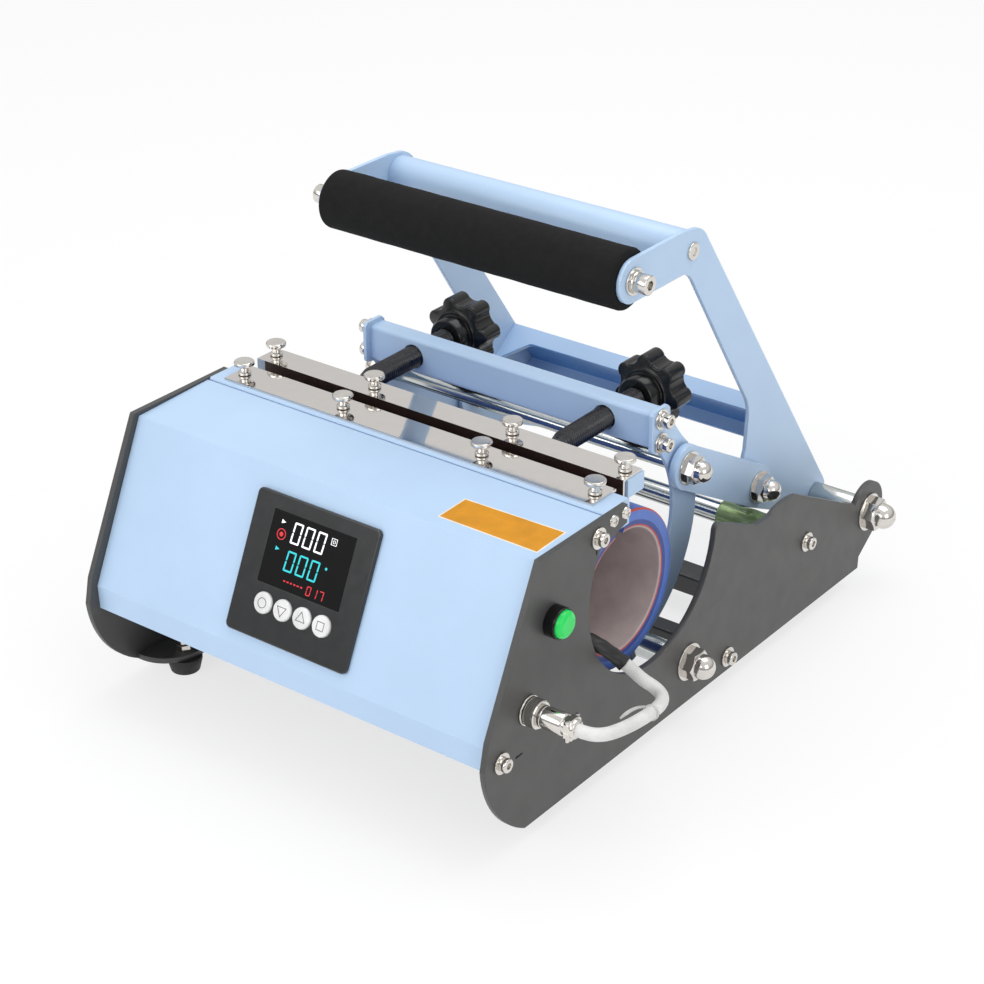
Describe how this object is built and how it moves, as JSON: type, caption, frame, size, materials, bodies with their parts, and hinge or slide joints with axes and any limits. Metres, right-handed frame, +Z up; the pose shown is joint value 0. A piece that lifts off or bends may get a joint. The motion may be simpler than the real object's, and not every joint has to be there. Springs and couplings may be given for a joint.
{
  "type": "tumbler heat press",
  "caption": "Bench heat press for tumblers and mugs: a round heating mat in a cradle, pulled tight by a long lever handle through curved arms, with a timer panel in front.",
  "frame": {"origin": "on the bench, under the middle of the machine's footprint", "axes": "+X to the machine's right seen from the operator, +Y to its rear, +Z up"},
  "size_m": [0.4075, 0.4716, 0.3206],
  "materials": {
    "blue_paint": "smooth light blue powder coat",
    "dark_paint": "satin charcoal powder coat",
    "bare_sheet": "plain galvanised sheet",
    "polished_strip": "polished plate",
    "polished_strip_rear": "polished plate",
    "clamp_bar_rear": "light blue powder coat",
    "nickel": "bright nickel plate",
    "foot_rubber": "matt black rubber",
    "silicone": "matt blue silicone",
    "foam": "matt closed-cell foam",
    "sleeve_rubber": "clear green soft tube",
    "black_plastic": "fine matt moulding",
    "relay_case": "moulded case",
    "bezel_plastic": "gloss black moulding",
    "window": "smoked display window",
    "button_caps": "white button caps",
    "green_lens": "translucent green button",
    "knob": "gloss black moulding on a black steel stud",
    "lead_sheath": "white woven sleeve",
    "shrink_tube": "black shrink sleeve"
  },
  "bodies": {
    "base": {"side_plate_right": "dark_paint", "side_plate_left": "dark_paint", "rubber_feet": "foot_rubber", "foot_screws": "nickel", "front_casing": "blue_paint", "heat_shield": "bare_sheet", "bottom_cover": "dark_paint", "front_channel_bar": "blue_paint", "front_clamp_strip": "polished_strip", "heating_mat": "silicone", "base_cross_bars": "dark_paint", "heater_relay": "relay_case", "terminal_block": "black_plastic", "controller_front": "bezel_plastic", "controller_case": "black_plastic", "display_window": "window", "power_switch_body": "bezel_plastic", "panel_socket": "nickel", "mat_plug": "nickel", "mat_lead": "lead_sheath", "mat_lead_boot": "shrink_tube", "mains_inlet": "black_plastic", "cross_rods": "nickel", "pivot_cap_nuts": "nickel", "pivot_spacers": "nickel", "bumper_sleeves": "sleeve_rubber", "plate_screws": "nickel", "crosshead_screws": "nickel"},
    "handle": {"handle_arm_right": "blue_paint", "handle_arm_left": "blue_paint", "handle_cross_channel": "blue_paint", "handle_cross_tube": "blue_paint", "grip_rod": "nickel", "foam_grip": "foam", "handle_screws": "nickel"},
    "links": {"link_right": "blue_paint", "link_left": "blue_paint", "link_bolts": "nickel"},
    "swing_frame": {"curved_arm_right": "blue_paint", "curved_arm_left": "blue_paint", "pressure_beam": "blue_paint", "beam_screws": "nickel", "arm_rod": "nickel"},
    "rear_clamp": {"rear_clamp_bar": "clamp_bar_rear", "rear_clamp_strip": "polished_strip_rear"},
    "pressure_screw_right": {"star_knob_screw_right": "knob"},
    "pressure_screw_left": {"star_knob_screw_left": "knob"},
    "power_button": {"power_button": "green_lens"},
    "control_button_1": {"control_button_1": "button_caps"},
    "control_button_2": {"control_button_2": "button_caps"},
    "control_button_3": {"control_button_3": "button_caps"},
    "control_button_4": {"control_button_4": "button_caps"},
    "front_thumbscrew_1": {"front_thumbscrew_1": "nickel"},
    "rear_thumbscrew_1": {"rear_thumbscrew_1": "nickel"},
    "front_thumbscrew_2": {"front_thumbscrew_2": "nickel"},
    "rear_thumbscrew_2": {"rear_thumbscrew_2": "nickel"},
    "front_thumbscrew_3": {"front_thumbscrew_3": "nickel"},
    "rear_thumbscrew_3": {"rear_thumbscrew_3": "nickel"},
    "front_thumbscrew_4": {"front_thumbscrew_4": "nickel"},
    "rear_thumbscrew_4": {"rear_thumbscrew_4": "nickel"}
  },
  "joints": [
    {"name": "handle_pivot", "type": "hinge", "parent": "base", "child": "handle", "pos_m": [0, 0.21525, 0.053], "axis": [-1, 0, 0], "range_deg": [0, 36]},
    {"name": "link_pivot", "type": "hinge", "parent": "handle", "child": "links", "pos_m": [0, 0.12225, 0.1003], "axis": [-1, 0, 0], "range_deg": [-76.18, 1]},
    {"name": "swing_frame_pivot", "type": "hinge", "parent": "base", "child": "swing_frame", "pos_m": [0, -0.01875, 0.042], "axis": [-1, 0, 0], "range_deg": [-0.5, 19.94]},
    {"name": "rear_clamp_slide", "type": "slide", "parent": "swing_frame", "child": "rear_clamp", "axis": [0, 1, 0], "range_m": [-0.002, 0.012]},
    {"name": "right_knob_turn", "type": "hinge", "parent": "rear_clamp", "child": "pressure_screw_right", "pos_m": [0.0796, 0.03905, 0.185], "axis": [0, 1, 0], "range_deg": [-360.5, 2160.5]},
    {"name": "left_knob_turn", "type": "hinge", "parent": "rear_clamp", "child": "pressure_screw_left", "pos_m": [-0.0796, 0.03905, 0.185], "axis": [0, 1, 0], "range_deg": [-360.5, 2160.5]},
    {"name": "power_button_press", "type": "slide", "parent": "base", "child": "power_button", "axis": [-1, 0, 0], "range_m": [0, 0.002], "stiffness_N_per_m": 400},
    {"name": "control_button_1_press", "type": "slide", "parent": "base", "child": "control_button_1", "axis": [0, 0.9061, -0.4232], "range_m": [0, 0.001], "stiffness_N_per_m": 200},
    {"name": "control_button_2_press", "type": "slide", "parent": "base", "child": "control_button_2", "axis": [0, 0.9061, -0.4232], "range_m": [0, 0.001], "stiffness_N_per_m": 200},
    {"name": "control_button_3_press", "type": "slide", "parent": "base", "child": "control_button_3", "axis": [0, 0.9061, -0.4232], "range_m": [0, 0.001], "stiffness_N_per_m": 200},
    {"name": "control_button_4_press", "type": "slide", "parent": "base", "child": "control_button_4", "axis": [0, 0.9061, -0.4232], "range_m": [0, 0.001], "stiffness_N_per_m": 200},
    {"name": "front_thumbscrew_1_turn", "type": "hinge", "parent": "base", "child": "front_thumbscrew_1", "pos_m": [-0.1431, -0.09675, 0.1914], "axis": [0, 0, 1], "range_deg": [0, 720]},
    {"name": "rear_thumbscrew_1_turn", "type": "hinge", "parent": "rear_clamp", "child": "rear_thumbscrew_1", "pos_m": [-0.1431, -0.06485, 0.1939], "axis": [0, 0, 1], "range_deg": [0, 720]},
    {"name": "front_thumbscrew_2_turn", "type": "hinge", "parent": "base", "child": "front_thumbscrew_2", "pos_m": [-0.0567, -0.09675, 0.1914], "axis": [0, 0, 1], "range_deg": [0, 720]},
    {"name": "rear_thumbscrew_2_turn", "type": "hinge", "parent": "rear_clamp", "child": "rear_thumbscrew_2", "pos_m": [-0.0567, -0.06485, 0.1939], "axis": [0, 0, 1], "range_deg": [0, 720]},
    {"name": "front_thumbscrew_3_turn", "type": "hinge", "parent": "base", "child": "front_thumbscrew_3", "pos_m": [0.0567, -0.09675, 0.1914], "axis": [0, 0, 1], "range_deg": [0, 720]},
    {"name": "rear_thumbscrew_3_turn", "type": "hinge", "parent": "rear_clamp", "child": "rear_thumbscrew_3", "pos_m": [0.0567, -0.06485, 0.1939], "axis": [0, 0, 1], "range_deg": [0, 720]},
    {"name": "front_thumbscrew_4_turn", "type": "hinge", "parent": "base", "child": "front_thumbscrew_4", "pos_m": [0.1431, -0.09675, 0.1914], "axis": [0, 0, 1], "range_deg": [0, 720]},
    {"name": "rear_thumbscrew_4_turn", "type": "hinge", "parent": "rear_clamp", "child": "rear_thumbscrew_4", "pos_m": [0.1431, -0.06485, 0.1939], "axis": [0, 0, 1], "range_deg": [0, 720]}
  ],
  "couplings": [
    {"joint": "link_pivot", "follows": "handle_pivot", "ratio": -2.0882},
    {"joint": "swing_frame_pivot", "follows": "handle_pivot", "ratio": 0.53999},
    {"joint": "right_knob_turn", "follows": "rear_clamp_slide", "rad_per_m": 3141.6},
    {"joint": "left_knob_turn", "follows": "rear_clamp_slide", "rad_per_m": 3141.6}
  ]
}
